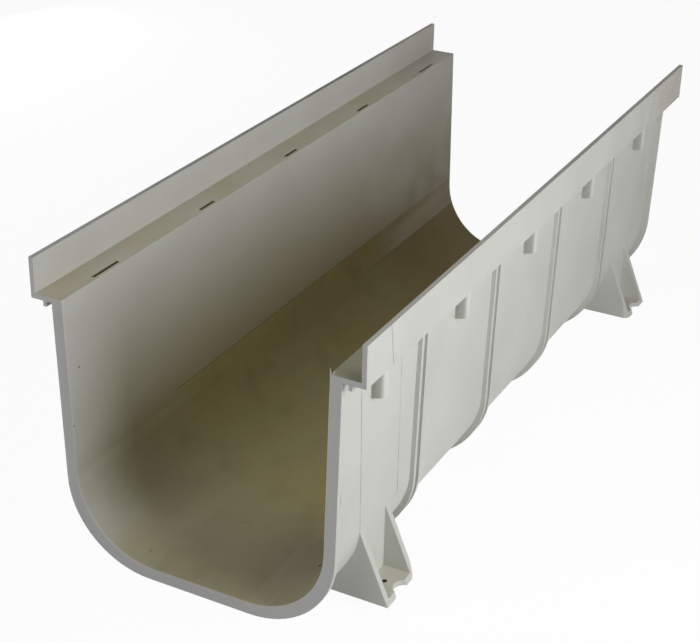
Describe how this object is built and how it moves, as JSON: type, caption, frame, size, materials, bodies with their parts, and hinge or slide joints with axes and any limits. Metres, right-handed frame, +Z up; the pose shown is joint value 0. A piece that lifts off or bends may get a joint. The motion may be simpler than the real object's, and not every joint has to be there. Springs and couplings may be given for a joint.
{
  "type": "drainage channel",
  "caption": "Straight moulded plastic drainage channel with a round-cornered U section, ledges and upstands for a grating, ribbed outer walls and nail-down feet.",
  "frame": {"origin": "centre of the channel's length and width, at the level of the underside of its end ribs", "axes": "+Z up, +Y along the channel, +X across it"},
  "size_m": [0.202, 0.5, 0.184],
  "materials": {
    "pale_plastic": "matt moulded surface, off-white grey"
  },
  "bodies": {
    "root": {"channel_body": "pale_plastic"}
  },
  "joints": []
}
